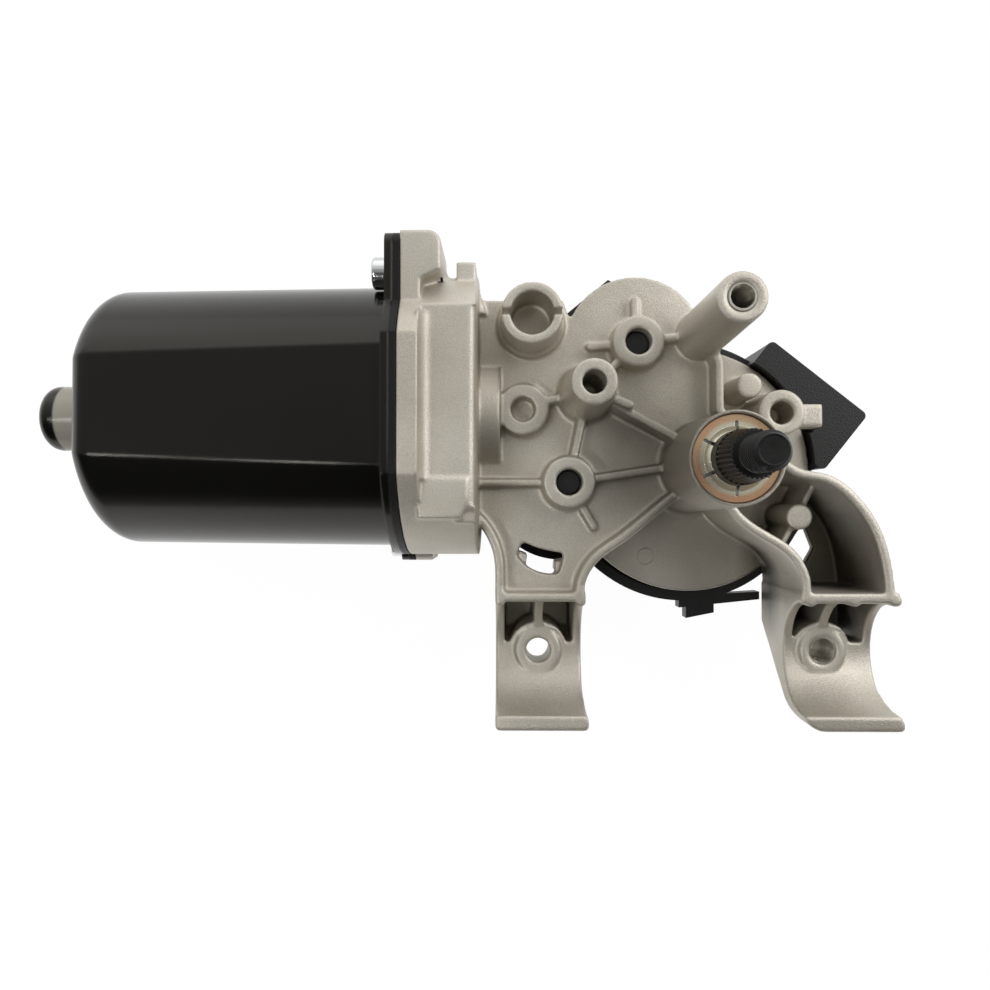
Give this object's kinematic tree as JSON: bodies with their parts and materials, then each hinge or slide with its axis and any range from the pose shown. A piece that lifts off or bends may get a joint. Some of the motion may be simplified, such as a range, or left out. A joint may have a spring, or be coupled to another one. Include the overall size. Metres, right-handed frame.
{
  "type": "wiper motor",
  "caption": "Windscreen wiper motor with a flatted case, a die-cast gear housing on two saddle feet and a splined output shaft.",
  "frame": {"origin": "on the output shaft's axis, at the foot of its thread where the crank arm seats", "axes": "+Z out along the output shaft, +X from the motor case towards the gears, -Y towards the feet"},
  "size_m": [0.2198, 0.1212, 0.0954],
  "materials": {
    "die_cast": "shot-blasted satin",
    "case_paint": "satin black",
    "seal_rubber": "matte",
    "bright_steel": "ground",
    "chrome_screw": "polished",
    "black_steel": "black phosphate, oiled",
    "yellow_zinc": "yellow passivated",
    "bronze": "sintered",
    "copper": "bare",
    "cover_plastic": "moulded",
    "gear_plastic": "moulded",
    "board_plastic": "moulded",
    "ferrite": "ground",
    "carbon": "pressed",
    "core_steel": "laminated"
  },
  "bodies": {
    "casing": {"gear_housing": "die_cast", "motor_yoke": "case_paint", "yoke_seal": "seal_rubber", "yoke_screws": "chrome_screw", "magnet_upper": "ferrite", "magnet_lower": "ferrite", "rear_bush": "bronze", "tip_bush": "bronze", "thrust_pad": "board_plastic", "bearing_outer_race": "bright_steel", "brush_card": "board_plastic", "carbon_brushes": "carbon", "counter_pin_upper": "black_steel", "counter_pin_lower": "black_steel", "thrust_washer": "bright_steel", "gear_washer": "board_plastic", "shaft_bush_inner": "bronze", "shaft_bush_outer": "bronze", "cover_gasket": "seal_rubber", "back_cover": "cover_plastic", "cover_screws": "bright_steel", "connector_block": "cover_plastic", "connector_blades": "copper", "park_board": "board_plastic", "park_contacts": "copper"},
    "armature": {"armature_shaft": "bright_steel", "armature_core": "core_steel", "armature_windings": "copper", "commutator": "copper", "bearing_inner_race": "bright_steel"},
    "counter_gear_upper": {"counter_wheel_upper": "gear_plastic", "counter_pinion_upper": "bright_steel"},
    "counter_gear_lower": {"counter_wheel_lower": "gear_plastic", "counter_pinion_lower": "bright_steel"},
    "output": {"output_shaft": "black_steel", "final_gear": "gear_plastic", "park_ring": "copper", "star_washer": "yellow_zinc"}
  },
  "joints": [
    {"name": "armature_spin", "type": "hinge", "parent": "casing", "child": "armature", "pos_m": [-0.1, 0.013, -0.05], "axis": [1, 0, 0], "continuous": true},
    {"name": "counter_upper_spin", "type": "hinge", "parent": "casing", "child": "counter_gear_upper", "pos_m": [-0.01775, 0.0304, -0.05], "axis": [0, 0, 1], "continuous": true},
    {"name": "counter_lower_spin", "type": "hinge", "parent": "casing", "child": "counter_gear_lower", "pos_m": [-0.03492, -0.0044, -0.05], "axis": [0, 0, 1], "continuous": true},
    {"name": "output_spin", "type": "hinge", "parent": "casing", "child": "output", "pos_m": [0, 0, 0], "axis": [0, 0, 1], "continuous": true}
  ],
  "couplings": [
    {"joint": "counter_upper_spin", "follows": "armature_spin", "ratio": -0.08},
    {"joint": "counter_lower_spin", "follows": "armature_spin", "ratio": -0.08},
    {"joint": "output_spin", "follows": "armature_spin", "ratio": 0.014815}
  ]
}
